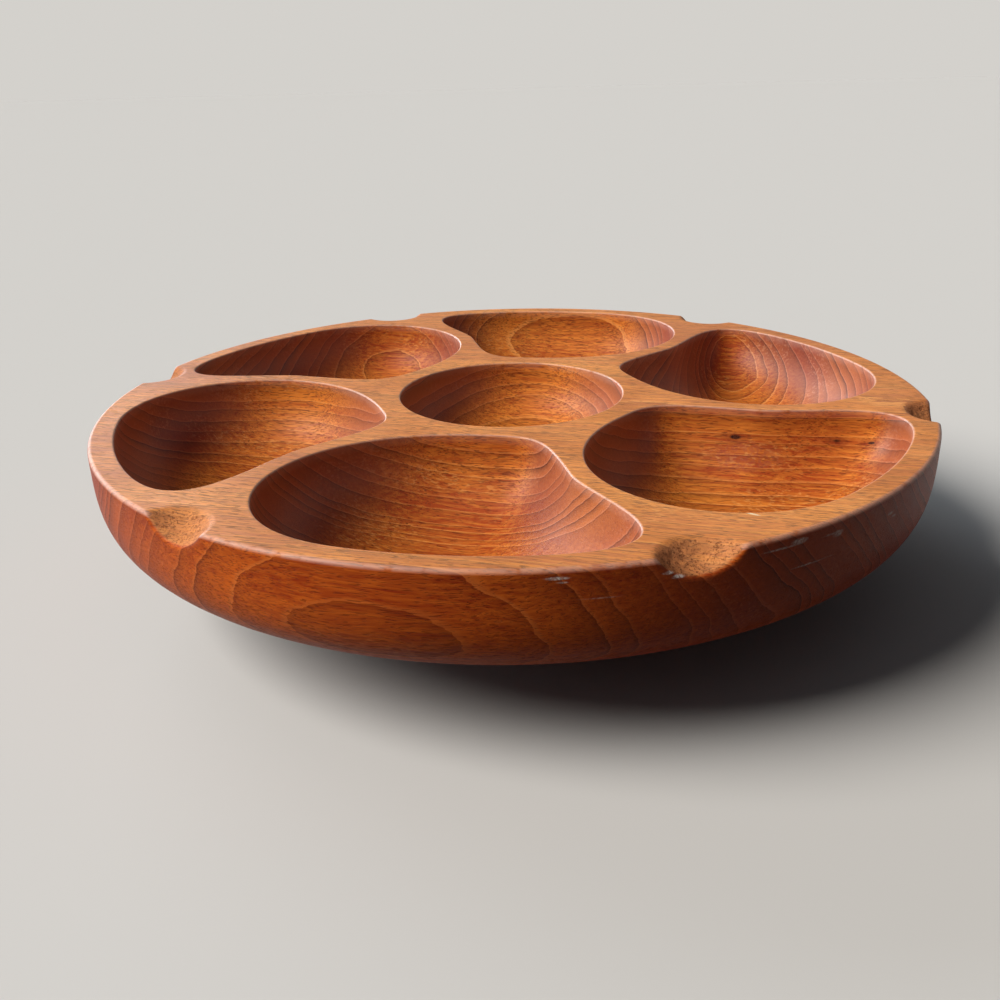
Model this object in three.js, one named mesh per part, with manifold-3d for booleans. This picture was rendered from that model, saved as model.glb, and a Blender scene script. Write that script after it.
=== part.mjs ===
// Lazy susan serving bowl: a carved teak bowl with one round hollow and six swirled hollows,
// turning on a pressed-steel ball bearing that is screwed to a small turned teak base.
// Millimetres, +Z up. The origin is on the axis, at the level that the felt feet stand on.

import * as THREE from "three";
import { mergeVertices } from "three/addons/utils/BufferGeometryUtils.js";
import Module from "manifold-3d";

// Bowl blank
const rimRadius = 195;
const bowlHeight = 57.5;
const bowlFootRadius = 88;
const rimRound = 1.5;
const sideFullness = 2.5;
const floorFullness = 4;

// Hollows
const hollowCount = 6;
const hollowDepth = 40;
const centreRadius = 55;
const centreDepth = 36;
const rimWidth = 10;
const hubWall = 10;
const partitionWall = 7.5;
const easedEdge = 1.2;
const hollowFullness = 2.4;
const firstHollowAngle = -105;

// Outline of a hollow: the ends of its arcs along rim and hub, in degrees from its own middle, and
// how long its curves hold the direction of their ends, as shares of the span from hub to rim
const rimArcStart = -4.4;
const rimArcEnd = 15.1;
const hubArcStart = 5.8;
const hubArcEnd = 4;
const flankHubHold = 0.77;
const flankRimHold = 0.62;
const tailRimHold = 0.625;
const tailWaistHold = 0.2;
const heelWaistHold = 0.33;
const heelHubHold = 0.19;
const deepestAngle = -2;

// Scooped notches in the rim, each the mark of a ball-nosed cutter. They were set out by eye: the
// drifts are the degrees by which each one misses its even place.
const notchAngle = 33.5;
const notchDrifts = [-1.3, -2.7, 1.5, 3.3, -3.2, 2.5];
const notchCutterRadius = 21;
const notchReach = 12.7;
const notchDrop = 8;

// Turned base
const baseRadius = 92;
const baseThickness = 12;
const baseTopRound = 6;
const baseBottomRound = 2;
const accessHoleRadius = 7;

// Ball bearing
const plateSide = 102;
const plateCorner = 10;
const sheet = 1;
const landMargin = 6;
const landSlope = 1.5;
const raceInset = 9;
const ballRadius = 2.4;
const ballCount = 16;
const collarInset = 8;
const lipReach = 3;
const cageThickness = 1;
const cageMargin = 2;

// Screws
const screwInset = 8;
const shankRadius = 1.75;
const screwPoint = 2.5;
const screwFloor = 3;
const headRadius = 3.5;
const headHeight = 2;
const slotWidth = 0.9;
const slotDepth = 0.9;

// Felt feet
const feltRadius = 11;
const feltThickness = 2.5;
const feltInset = 7;

// Clearances
const seat = 0.1;
const screwClearance = 0.3;
const raceClearance = 0.3;
const grooveClearance = 0.3;
const pocketClearance = 0.3;
const collarClearance = 0.6;
const lipClearance = 0.35;
const lipHeadroom = 0.25;
const cutMargin = 4;

// Facets
const bowlFacets = 60;
const sideFacets = 10;
const hollowFacets = 42;
const hollowSteps = 6;
const notchFacets = 20;
const baseFacets = 48;
const raceFacets = 36;
const grooveFacets = 4;
const cornerFacets = 4;
const ballFacets = 8;
const holeFacets = 10;
const roundFacets = 3;
const feltFacets = 24;

// Sizes that follow from those above
const bearingHeight = 2 * (ballRadius + raceClearance + sheet + grooveClearance);
const landRise = sheet + lipClearance + lipHeadroom;
const landRadius = plateSide / 2 - landMargin;
const pitchRadius = landRadius - raceInset;
const collarRadius = pitchRadius - collarInset;
const shankLength = sheet + baseThickness - screwFloor;
const pilotDepth = baseThickness - screwFloor + screwClearance;
const feltCircle = baseRadius - baseBottomRound - feltInset - feltRadius;
const baseLevel = feltThickness + seat;
const bearingLevel = baseLevel + baseThickness + seat;
const bowlLevel = bearingLevel + bearingHeight + seat;

// The upper plate is fitted an eighth of a turn from the lower one, so the screws of each plate can
// be reached past the sides of the other
const plateTurn = 45;

const teak = { color: 0xa9653a, roughness: 0.5, metalness: 0 };
const zincSteel = { color: 0xb9bcc0, roughness: 0.35, metalness: 1 };
const ballSteel = { color: 0xd5d8dc, roughness: 0.15, metalness: 1 };
const cageSteel = { color: 0xa4a49e, roughness: 0.45, metalness: 1 };
const screwSteel = { color: 0xc2bfb4, roughness: 0.35, metalness: 1 };
const feltCloth = { color: 0x3d4a38, roughness: 0.95, metalness: 0 };

const wasm = await Module();
wasm.setup();

const radians = THREE.MathUtils.degToRad;

function polar(radius, degrees) {
  const angle = radians(degrees);
  return new THREE.Vector2(radius * Math.cos(angle), radius * Math.sin(angle));
}

// A closed geometry as a solid that can be cut and joined. Faces that shrink to a line are dropped.
function toSolid(geometry) {
  const bare = geometry.clone();
  bare.deleteAttribute("normal");
  bare.deleteAttribute("uv");
  const merged = mergeVertices(bare);
  const corners = merged.index.array;
  const kept = [];
  for (let i = 0; i < corners.length; i += 3) {
    const [a, b, c] = corners.slice(i, i + 3);
    if (a !== b && b !== c && c !== a) {
      kept.push(a, b, c);
    }
  }
  return new wasm.Manifold(new wasm.Mesh({
    numProp: 3,
    vertProperties: merged.attributes.position.array,
    triVerts: new Uint32Array(kept),
  }));
}

function toGeometry(solid) {
  const { vertProperties, triVerts } = solid.getMesh();
  const geometry = new THREE.BufferGeometry();
  geometry.setAttribute("position", new THREE.BufferAttribute(vertProperties, 3));
  geometry.setIndex(new THREE.BufferAttribute(triVerts, 1));
  geometry.computeVertexNormals();
  return geometry;
}

function cutAll(solid, cutters) {
  return cutters.reduce((rest, cutter) => rest.subtract(cutter), solid);
}

// A profile of radius and height, turned about the Z axis.
function turned(profile, facets) {
  return toSolid(new THREE.LatheGeometry(profile, facets).rotateX(Math.PI / 2));
}

// A round hole along Z, between two levels.
function holeCutter(place, radius, low, high) {
  const cylinder = new THREE.CylinderGeometry(radius, radius, high - low, holeFacets);
  cylinder.rotateX(Math.PI / 2);
  cylinder.translate(place.x, place.y, (low + high) / 2);
  return toSolid(cylinder);
}

// The points of a quarter of an ellipse in a profile, counter-clockwise from an angle in degrees.
function quarterRound(x, y, width, height, from) {
  const arc = new THREE.EllipseCurve(x, y, width, height, radians(from), radians(from + 90));
  return arc.getPoints(roundFacets);
}

// The points of a full circle, counter-clockwise, without a repeated end.
function circle(place, radius, facets) {
  const curve = new THREE.EllipseCurve(place.x, place.y, radius, radius);
  return curve.getPoints(facets).slice(0, -1);
}

function piece(name, geometry, look) {
  const mesh = new THREE.Mesh(geometry, new THREE.MeshStandardMaterial(look));
  mesh.name = name;
  return mesh;
}

// The screw places of a plate, one near each corner, with the plate turned by an angle.
function screwPlaces(turn) {
  const reach = Math.SQRT2 * (plateSide / 2 - screwInset);
  return [45, 135, 225, 315].map((corner) => polar(reach, corner + turn));
}

// The outside of the bowl: flat underside, full round side and an upright rim with a rounded edge.
function bowlBlank() {
  const sideHeight = bowlHeight - rimRound;
  const side = [];
  for (let i = 0; i < sideFacets; i += 1) {
    const angle = Math.PI / 2 * (1 - i / sideFacets);
    const out = Math.cos(angle) ** (2 / sideFullness);
    const down = Math.sin(angle) ** (2 / floorFullness);
    const radius = bowlFootRadius + (rimRadius - bowlFootRadius) * out;
    side.push(new THREE.Vector2(radius, sideHeight * (1 - down)));
  }
  const edge = quarterRound(rimRadius - rimRound, sideHeight, rimRound, rimRound, 0);
  const profile = [new THREE.Vector2(0, 0), ...side, ...edge, new THREE.Vector2(0, bowlHeight)];
  return turned(profile, bowlFacets);
}

// The swirled outline of a hollow whose middle points along +Y, counter-clockwise: an arc along the
// rim, a tail that comes back along the partition, a heel, an arc round the hub, and a full flank.
function hollowOutline() {
  const outer = rimRadius - rimWidth;
  const inner = centreRadius + hubWall;
  const span = outer - inner;
  const at = (radius, degrees) => polar(radius, 90 + degrees);
  const along = (degrees, hold) => polar(hold * span, 180 + degrees);
  const arc = (radius, from, to) => new THREE.EllipseCurve(
    0, 0, radius, radius, radians(90 + from), radians(90 + to), to < from);

  const flank = new THREE.CubicBezierCurve(
    at(inner, hubArcEnd),
    at(inner, hubArcEnd).sub(along(hubArcEnd, flankHubHold)),
    at(outer, rimArcStart).sub(along(rimArcStart, flankRimHold)),
    at(outer, rimArcStart));

  // The waist stands one partition away from the fullest place of the next hollow's flank.
  const fullest = flank.getPoints(hollowFacets)
    .reduce((best, point) => (point.angle() < best.angle() ? point : best));
  const fullRadius = fullest.length();
  const waistAngle = fullest.angle() + 2 * Math.PI / hollowCount - partitionWall / fullRadius;
  const outward = new THREE.Vector2(Math.cos(waistAngle), Math.sin(waistAngle));
  const waist = outward.clone().multiplyScalar(fullRadius);
  const tail = new THREE.CubicBezierCurve(
    at(outer, rimArcEnd),
    at(outer, rimArcEnd).add(along(rimArcEnd, tailRimHold)),
    waist.clone().addScaledVector(outward, tailWaistHold * span),
    waist);
  const heel = new THREE.CubicBezierCurve(
    waist,
    waist.clone().addScaledVector(outward, -heelWaistHold * span),
    at(inner, hubArcStart).add(along(hubArcStart, heelHubHold)),
    at(inner, hubArcStart));

  const outline = new THREE.CurvePath();
  outline.add(arc(outer, rimArcStart, rimArcEnd));
  outline.add(tail);
  outline.add(heel);
  outline.add(arc(inner, hubArcStart, hubArcEnd));
  outline.add(flank);
  return outline.getSpacedPoints(hollowFacets).slice(0, -1);
}

// A closed body through rings of equally many points, from the top ring down to a single tip.
function loft(rings, tip) {
  const count = rings[0].length;
  const vertices = [...rings.flat(), tip];
  const faces = THREE.ShapeUtils.triangulateShape(rings[0], []);
  for (let i = 0; i < count; i += 1) {
    const next = (i + 1) % count;
    for (let ring = 0; ring < rings.length - 1; ring += 1) {
      const upper = ring * count;
      const lower = upper + count;
      faces.push([upper + i, lower + i, lower + next], [upper + i, lower + next, upper + next]);
    }
    const last = (rings.length - 1) * count;
    faces.push([last + i, vertices.length - 1, last + next]);
  }
  const geometry = new THREE.BufferGeometry().setFromPoints(vertices);
  geometry.setIndex(faces.flat());
  return geometry;
}

// The cutter of a hollow: eased edge, then walls that curve down to a rounded floor.
function hollowCutter(outline, deepest, depth) {
  const count = outline.length;
  const wall = outline.map((point, i) => {
    const before = outline[(i + count - 1) % count];
    const after = outline[(i + 1) % count];
    const inward = after.clone().sub(before).normalize().rotateAround(new THREE.Vector2(), Math.PI / 2);
    return point.clone().addScaledVector(inward, easedEdge);
  });
  const ring = (points, level) => points.map((point) => new THREE.Vector3(point.x, point.y, level));
  const rings = [ring(outline, bowlHeight + cutMargin), ring(outline, bowlHeight)];
  for (let step = 0; step < hollowSteps; step += 1) {
    const angle = Math.PI / 2 * step / hollowSteps;
    const share = Math.cos(angle) ** (2 / hollowFullness);
    const sunk = easedEdge + (depth - easedEdge) * Math.sin(angle) ** (2 / hollowFullness);
    rings.push(ring(wall.map((point) => deepest.clone().lerp(point, share)), bowlHeight - sunk));
  }
  return loft(rings, new THREE.Vector3(deepest.x, deepest.y, bowlHeight - depth));
}

// The ball that cuts a notch, through its reach on top of the rim and its drop down the side.
function notchCutter(angle) {
  const chord = Math.hypot(notchReach, notchDrop);
  const rise = Math.sqrt(notchCutterRadius ** 2 - (chord / 2) ** 2) / chord;
  const centre = polar(rimRadius - notchReach / 2 + notchDrop * rise, angle);
  const ball = new THREE.SphereGeometry(notchCutterRadius, notchFacets, notchFacets / 2);
  ball.translate(centre.x, centre.y, bowlHeight - notchDrop / 2 + notchReach * rise);
  return toSolid(ball);
}

function carvedBowl() {
  const middle = (rimRadius - rimWidth + centreRadius + hubWall) / 2;
  const hollow = hollowCutter(hollowOutline(), polar(middle, 90 + deepestAngle), hollowDepth);
  const axis = new THREE.Vector2();
  const centre = hollowCutter(circle(axis, centreRadius, hollowFacets), axis, centreDepth);
  const cutters = [toSolid(centre)];
  for (let i = 0; i < hollowCount; i += 1) {
    const angle = firstHollowAngle + 360 / hollowCount * i;
    cutters.push(toSolid(hollow.clone().rotateZ(radians(angle - 90))));
    cutters.push(notchCutter(angle + notchAngle + notchDrifts[i % notchDrifts.length]));
  }
  for (const place of screwPlaces(plateTurn)) {
    cutters.push(holeCutter(place, shankRadius + screwClearance, -cutMargin, pilotDepth));
  }
  return toGeometry(cutAll(bowlBlank(), cutters));
}

// A turned disc with rounded edges, four pilot holes for the bearing and one hole that goes right
// through, to reach the screws of the bowl one after another with a screwdriver.
function turnedBase() {
  const profile = [
    new THREE.Vector2(0, 0),
    ...quarterRound(baseRadius - baseBottomRound, baseBottomRound, baseBottomRound, baseBottomRound, -90),
    ...quarterRound(baseRadius - baseTopRound, baseThickness - baseTopRound, baseTopRound, baseTopRound, 0),
    new THREE.Vector2(0, baseThickness),
  ];
  const pilotRadius = shankRadius + screwClearance;
  const cutters = screwPlaces(0).map((place) => holeCutter(
    place, pilotRadius, baseThickness - pilotDepth, baseThickness + cutMargin));
  const [accessPlace] = screwPlaces(plateTurn);
  cutters.push(holeCutter(accessPlace, accessHoleRadius, -cutMargin, baseThickness + cutMargin));
  return toGeometry(cutAll(turned(profile, baseFacets), cutters));
}

// The square sheet of a bearing plate, with round corners, screw holes and a round opening.
function plateSheet(openingRadius) {
  const half = plateSide / 2;
  const corner = half - plateCorner;
  const outline = new THREE.Shape();
  outline.absarc(corner, corner, plateCorner, 0, Math.PI / 2);
  outline.absarc(-corner, corner, plateCorner, Math.PI / 2, Math.PI);
  outline.absarc(-corner, -corner, plateCorner, Math.PI, 1.5 * Math.PI);
  outline.absarc(corner, -corner, plateCorner, 1.5 * Math.PI, 2 * Math.PI);
  for (const place of screwPlaces(0)) {
    outline.holes.push(new THREE.Path(circle(place, shankRadius + screwClearance, holeFacets)));
  }
  outline.holes.push(new THREE.Path(circle(new THREE.Vector2(), openingRadius, raceFacets)));
  const options = { depth: sheet, bevelEnabled: false, curveSegments: cornerFacets / 2 };
  return toSolid(new THREE.ExtrudeGeometry(outline, options));
}

// The closed section of a bent sheet, on both sides of its middle line, with mitred bends.
function sheetSection(line) {
  const edge = (side) => line.map((point, i) => {
    const before = line[Math.max(i - 1, 0)];
    const after = line[Math.min(i + 1, line.length - 1)];
    const inDirection = (i > 0 ? point.clone().sub(before) : after.clone().sub(point)).normalize();
    const outDirection = (point === after ? inDirection : after.clone().sub(point)).normalize();
    const across = inDirection.clone().add(outDirection).normalize();
    const mitre = side * sheet / 2 / across.dot(inDirection);
    return new THREE.Vector2(point.x - across.y * mitre, point.y + across.x * mitre);
  });
  const section = [...edge(-1), ...edge(1).reverse()];
  return [...section, section[0].clone()];
}

// The pressed middle of a plate, from its flange in: up a slope to the raised land, through the
// groove of the balls and on along the land to the points given.
function pressedRing(flangeRadius, innerPoints) {
  const slopeFoot = landRadius + landSlope;
  const land = landRise + sheet / 2;
  const grooveRadius = ballRadius + raceClearance + sheet / 2;
  const grooveHalf = Math.acos((bearingHeight / 2 - land) / grooveRadius);
  const down = -Math.PI / 2;
  const groove = new THREE.EllipseCurve(
    pitchRadius, bearingHeight / 2, grooveRadius, grooveRadius, down + grooveHalf, down - grooveHalf, true);
  const line = [
    new THREE.Vector2(flangeRadius, sheet / 2),
    new THREE.Vector2(slopeFoot, sheet / 2),
    new THREE.Vector2(landRadius, land),
    ...groove.getPoints(grooveFacets),
    ...innerPoints,
  ];
  return turned(sheetSection(line), raceFacets);
}

// A bearing plate with its mounting face down. The sheet laps over the flange of the pressed ring.
function bearingPlate(innerPoints) {
  const openingRadius = landRadius + landSlope + sheet;
  const flangeRadius = openingRadius + sheet;
  return toGeometry(plateSheet(openingRadius).add(pressedRing(flangeRadius, innerPoints)));
}

// The lower plate ends in a collar whose rolled lip holds the upper plate down.
function lowerPlate() {
  const collar = collarRadius - sheet / 2;
  const lip = bearingHeight - landRise + lipClearance + sheet / 2;
  return bearingPlate([
    new THREE.Vector2(collar, landRise + sheet / 2),
    new THREE.Vector2(collar, lip),
    new THREE.Vector2(collarRadius + lipReach, lip),
  ]);
}

function upperPlate() {
  return bearingPlate([new THREE.Vector2(collarRadius + collarClearance, landRise + sheet / 2)]);
}

function ballPlaces() {
  return Array.from({ length: ballCount }, (_, i) => polar(pitchRadius, 360 / ballCount * i));
}

// A flat ring with one pocket for each ball.
function ballCage() {
  const pocketRadius = ballRadius + pocketClearance;
  const axis = new THREE.Vector2();
  const halfWidth = pocketRadius + cageMargin;
  const outline = new THREE.Shape(circle(axis, pitchRadius + halfWidth, raceFacets));
  outline.holes.push(new THREE.Path(circle(axis, pitchRadius - halfWidth, raceFacets)));
  for (const place of ballPlaces()) {
    outline.holes.push(new THREE.Path(circle(place, pocketRadius, holeFacets)));
  }
  const ring = new THREE.ExtrudeGeometry(outline, { depth: cageThickness, bevelEnabled: false });
  return ring.translate(0, 0, -cageThickness / 2);
}

// A round-headed slotted wood screw, with the underside of its head at zero and its point down.
function woodScrew() {
  const profile = [
    new THREE.Vector2(0, -shankLength),
    new THREE.Vector2(shankRadius, screwPoint - shankLength),
    new THREE.Vector2(shankRadius, 0),
    ...quarterRound(0, 0, headRadius, headHeight, 0),
  ];
  const slot = new THREE.BoxGeometry(2 * headRadius + cutMargin, slotWidth, 2 * slotDepth);
  slot.translate(0, 0, headHeight);
  return toGeometry(turned(profile, holeFacets).subtract(toSolid(slot)));
}

function feltFoot() {
  const disc = new THREE.CylinderGeometry(feltRadius, feltRadius, feltThickness, feltFacets);
  disc.rotateX(Math.PI / 2);
  return disc.translate(0, 0, feltThickness / 2);
}

// What stands still: base, lower plate, its screws and the felt feet
const stand = new THREE.Group();
const base = piece("base", turnedBase(), teak);
base.position.z = baseLevel;
const lower = piece("lower_plate", lowerPlate(), zincSteel);
lower.position.z = bearingLevel;
stand.add(base, lower);
screwPlaces(0).forEach((place, i) => {
  const screw = piece(`base_screw_${i + 1}`, woodScrew(), screwSteel);
  screw.position.set(place.x, place.y, bearingLevel + sheet + seat);
  const foot = piece(`felt_foot_${i + 1}`, feltFoot(), feltCloth);
  const footPlace = place.clone().setLength(feltCircle);
  foot.position.set(footPlace.x, footPlace.y, 0);
  stand.add(screw, foot);
});

// What rolls between the plates: the cage and its balls
const ballRing = new THREE.Group();
ballRing.position.z = bearingLevel + bearingHeight / 2;
ballRing.add(piece("ball_cage", ballCage(), cageSteel));
ballPlaces().forEach((place, i) => {
  const sphere = new THREE.SphereGeometry(ballRadius, ballFacets, ballFacets - 2);
  const ball = piece(`ball_${String(i + 1).padStart(2, "0")}`, sphere, ballSteel);
  ball.position.set(place.x, place.y, 0);
  ball.rotation.x = Math.PI / 2;
  ballRing.add(ball);
});

// What turns: the bowl, the upper plate turned over under it, and its screws
const turntable = new THREE.Group();
const bowl = piece("bowl", carvedBowl(), teak);
bowl.position.z = bowlLevel;
const upper = piece("upper_plate", upperPlate(), zincSteel);
upper.position.z = bowlLevel - seat;
upper.rotation.set(Math.PI, 0, radians(plateTurn), "ZYX");
turntable.add(bowl, upper);
screwPlaces(plateTurn).forEach((place, i) => {
  const screw = piece(`bowl_screw_${i + 1}`, woodScrew(), screwSteel);
  screw.position.set(place.x, place.y, bowlLevel - 2 * seat - sheet);
  screw.rotation.x = Math.PI;
  turntable.add(screw);
});

const lazySusan = new THREE.Group();
lazySusan.add(stand, ballRing, turntable);

export default lazySusan;
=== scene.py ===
from math import acos, cos, pi, radians, sin, sqrt
import bmesh
import bpy
import numpy as np
from mathutils import Matrix, Vector, noise
from mathutils.geometry import tessellate_polygon


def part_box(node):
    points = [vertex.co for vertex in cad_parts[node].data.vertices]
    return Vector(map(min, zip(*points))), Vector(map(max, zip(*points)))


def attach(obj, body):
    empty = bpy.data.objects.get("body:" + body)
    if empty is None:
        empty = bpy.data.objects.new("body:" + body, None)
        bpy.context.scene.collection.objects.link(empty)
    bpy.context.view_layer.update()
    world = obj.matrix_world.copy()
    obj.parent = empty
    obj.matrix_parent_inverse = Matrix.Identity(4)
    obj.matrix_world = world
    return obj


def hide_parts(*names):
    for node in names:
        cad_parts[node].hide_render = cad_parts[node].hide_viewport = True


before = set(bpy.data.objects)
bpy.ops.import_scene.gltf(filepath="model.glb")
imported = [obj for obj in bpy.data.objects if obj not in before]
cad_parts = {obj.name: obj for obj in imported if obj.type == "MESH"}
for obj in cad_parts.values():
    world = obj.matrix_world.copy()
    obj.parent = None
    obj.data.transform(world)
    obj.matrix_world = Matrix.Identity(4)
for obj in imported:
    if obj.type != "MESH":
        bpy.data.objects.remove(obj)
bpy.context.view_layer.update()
scene = bpy.context.scene
scene.view_settings.view_transform = "Standard"
mm = 0.001


# small helpers for node trees

def put(tree, kind, settings=None, inputs=None):
    node = tree.nodes.new(kind)
    for name, value in (settings or {}).items():
        setattr(node, name, value)
    for key, value in (inputs or {}).items():
        if isinstance(value, bpy.types.NodeSocket):
            tree.links.new(value, node.inputs[key])
        else:
            node.inputs[key].default_value = value
    return node


def calc(tree, operation, first, second=None, third=None, clamp=False):
    values = {i: v for i, v in enumerate((first, second, third)) if v is not None}
    return put(tree, "ShaderNodeMath", {"operation": operation, "use_clamp": clamp}, values).outputs[0]


def times(tree, first, second):
    return calc(tree, "MULTIPLY", first, second)


def timesAdd(tree, first, second, third, clamp=False):  # first times second, plus third
    return calc(tree, "MULTIPLY_ADD", first, second, third, clamp)


def less(tree, first, second):
    return calc(tree, "SUBTRACT", first, second)


def hypotenuse(tree, first, second):
    return calc(tree, "SQRT", calc(tree, "ADD", times(tree, first, first), times(tree, second, second)))


def ramp(tree, value, low, high, start=0.0, end=1.0):  # a smooth step from low to high
    settings = {"interpolation_type": "SMOOTHSTEP", "clamp": True}
    inputs = {"Value": value, "From Min": low, "From Max": high, "To Min": start, "To Max": end}
    return put(tree, "ShaderNodeMapRange", settings, inputs).outputs["Result"]


def blendColour(tree, share, first, second, kind="MIX"):
    settings = {"data_type": "RGBA", "blend_type": kind}
    inputs = {0: share, 6: first, 7: second}  # by number, since the colours share their names
    return put(tree, "ShaderNodeMix", settings, inputs).outputs[2]


def tinted(tree, colour, mask, share, tint, kind="MIX"):  # a share of the tint where the mask is 1
    return blendColour(tree, times(tree, mask, share), colour, tint, kind)


def vectors(tree, operation, *values):
    return put(tree, "ShaderNodeVectorMath", {"operation": operation}, dict(enumerate(values))).outputs


def parts(tree, vector):
    return put(tree, "ShaderNodeSeparateXYZ", {}, {0: vector}).outputs


def stretched(tree, place, along):  # the grain frame, drawn out along the fibres
    return vectors(tree, "MULTIPLY", place, (along, 1.0, 1.0))[0]


def cloud(tree, place, scale, detail=2.0, rough=0.5, twist=0.0):
    inputs = {"Vector": place, "Scale": scale, "Detail": detail, "Roughness": rough, "Distortion": twist}
    return put(tree, "ShaderNodeTexNoise", {}, inputs).outputs[0]


def shade(red, green, blue):  # screen values, 0 to 255, to a linear colour
    def linear(v):
        v /= 255
        return v / 12.92 if v <= 0.04045 else ((v + 0.055) / 1.055) ** 2.4
    return (linear(red), linear(green), linear(blue), 1.0)


def newGroup(title, system, inputs, outputs):
    group = bpy.data.node_groups.new(title, system)
    for name, kind, *value in inputs:
        socket = group.interface.new_socket(name=name, in_out="INPUT", socket_type="NodeSocket" + kind)
        if value:
            socket.default_value = value[0]
    for name, kind in outputs:
        group.interface.new_socket(name=name, in_out="OUTPUT", socket_type="NodeSocket" + kind)
    return group, put(group, "NodeGroupInput").outputs, put(group, "NodeGroupOutput").inputs


# small helpers for materials

def newLook(name):
    look = bpy.data.materials.new(name)
    look.use_nodes = True
    look.node_tree.nodes.clear()
    return look, look.node_tree


def finishLook(tree, inputs):
    skin = put(tree, "ShaderNodeBsdfPrincipled", {}, inputs)
    put(tree, "ShaderNodeOutputMaterial", {}, {"Surface": skin.outputs[0]})


def inMillimetres(tree, turn=0.0, shift=(0, 0, 0)):  # object coordinates, turned about Z and moved
    spot = put(tree, "ShaderNodeTexCoord").outputs["Object"]
    inputs = {"Vector": spot, "Scale": (1000, 1000, 1000)}
    inputs.update({"Rotation": (0, 0, radians(turn)), "Location": shift})
    return put(tree, "ShaderNodeMapping", {}, inputs).outputs[0]


def bumpFrom(tree, height, strength, depth):  # depth in millimetres
    inputs = {"Strength": strength, "Distance": depth * mm, "Height": height}
    return put(tree, "ShaderNodeBump", {}, inputs).outputs[0]


def effect(tree, group, inputs):  # one of the shared effects, with its own values
    return put(tree, "ShaderNodeGroup", {"node_tree": group}, inputs).outputs


def markOf(tree, name):
    return put(tree, "ShaderNodeAttribute", {"attribute_name": name}).outputs["Fac"]


def seenRays(tree):  # 1 for camera, glossy and transmission rays, which show the pale background
    path = put(tree, "ShaderNodeLightPath").outputs
    seen = calc(tree, "MAXIMUM", path["Is Camera Ray"], path["Is Glossy Ray"])
    return calc(tree, "MAXIMUM", seen, path["Is Transmission Ray"])


# small helpers for meshes

def meshObject(name, points, faces, marks=None):
    mesh = bpy.data.meshes.new(name)
    mesh.from_pydata([tuple(p) for p in points], [], faces)
    for mark, values in (marks or {}).items():
        layer = mesh.attributes.new(mark, "FLOAT", "POINT")
        layer.data.foreach_set("value", np.asarray(values, np.float32))
    mesh.update()
    made = bpy.data.objects.new(name, mesh)
    scene.collection.objects.link(made)
    return made


def outwards(made):
    work = bmesh.new()
    work.from_mesh(made.data)
    bmesh.ops.recalc_face_normals(work, faces=work.faces)
    work.to_mesh(made.data)
    work.free()
    made.data.update()


def polar(radius, degrees):
    angle = radians(degrees)
    return np.array([radius * cos(angle), radius * sin(angle)])


def circlePoints(centre, radius, count):
    return [centre + polar(radius, 360 * i / count) for i in range(count)]


# camera, floor and light

cameraSet = {"place": (-6.83, -473.36, 220.10), "pitch": 22.63, "roll": -1.491, "lens": 36.07, "sensor": 36}


def makeCamera(s):
    pitch, roll = radians(s["pitch"]), radians(s["roll"])
    ahead = Vector((0, cos(pitch), -sin(pitch)))
    up = Vector((0, sin(pitch), cos(pitch)))
    side = Vector((1, 0, 0))
    rolledSide = side * cos(roll) + up * sin(roll)
    rolledUp = up * cos(roll) - side * sin(roll)
    data = bpy.data.cameras.new("photoCamera")
    data.lens = s["lens"]
    data.sensor_width = s["sensor"]
    data.clip_start = 0.02
    camera = bpy.data.objects.new("photoCamera", data)
    turn = Matrix((rolledSide, rolledUp, -ahead)).transposed().to_4x4()
    camera.matrix_world = Matrix.Translation(Vector(s["place"]) * mm) @ turn
    scene.collection.objects.link(camera)
    scene.camera = camera


floorSet = {
    "radius": 40.0, "corners": 64, "roughness": 0.9,
    "seen": (0.60, 0.585, 0.56, 1), "bounced": (0.06, 0.02, 0.009, 1),
}


def makeFloor(s):
    corners = circlePoints(np.zeros(2), s["radius"], s["corners"])
    floor = meshObject("floor", [(*p, 0.0) for p in corners], [tuple(range(s["corners"]))])
    look, tree = newLook("paleFloor")
    colour = blendColour(tree, seenRays(tree), s["bounced"], s["seen"])
    finishLook(tree, {"Base Color": colour, "Roughness": s["roughness"], "Specular IOR Level": 0.0})
    floor.data.materials.append(look)


lightSet = {
    "window": {"toward": (-1.0, -0.2, 0.9), "spread": 36.0, "strength": 4.1, "colour": (1.0, 0.97, 0.93)},
    "glow": {"toward": (-0.62, 0.74, 0.2), "spread": 50.0, "strength": 2.7, "colour": (0.82, 0.91, 1.0)},
    "room": {"toward": (-0.72, -0.1, 0.68), "bright": (0.095, 0.1, 0.11, 1), "dim": (0.003, 0.0025, 0.002, 1),
             "fade": (-0.75, 0.95)},
    "backdrop": (0.656, 0.637, 0.604, 1), "backdropTop": (0.4, 0.8),
}


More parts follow.
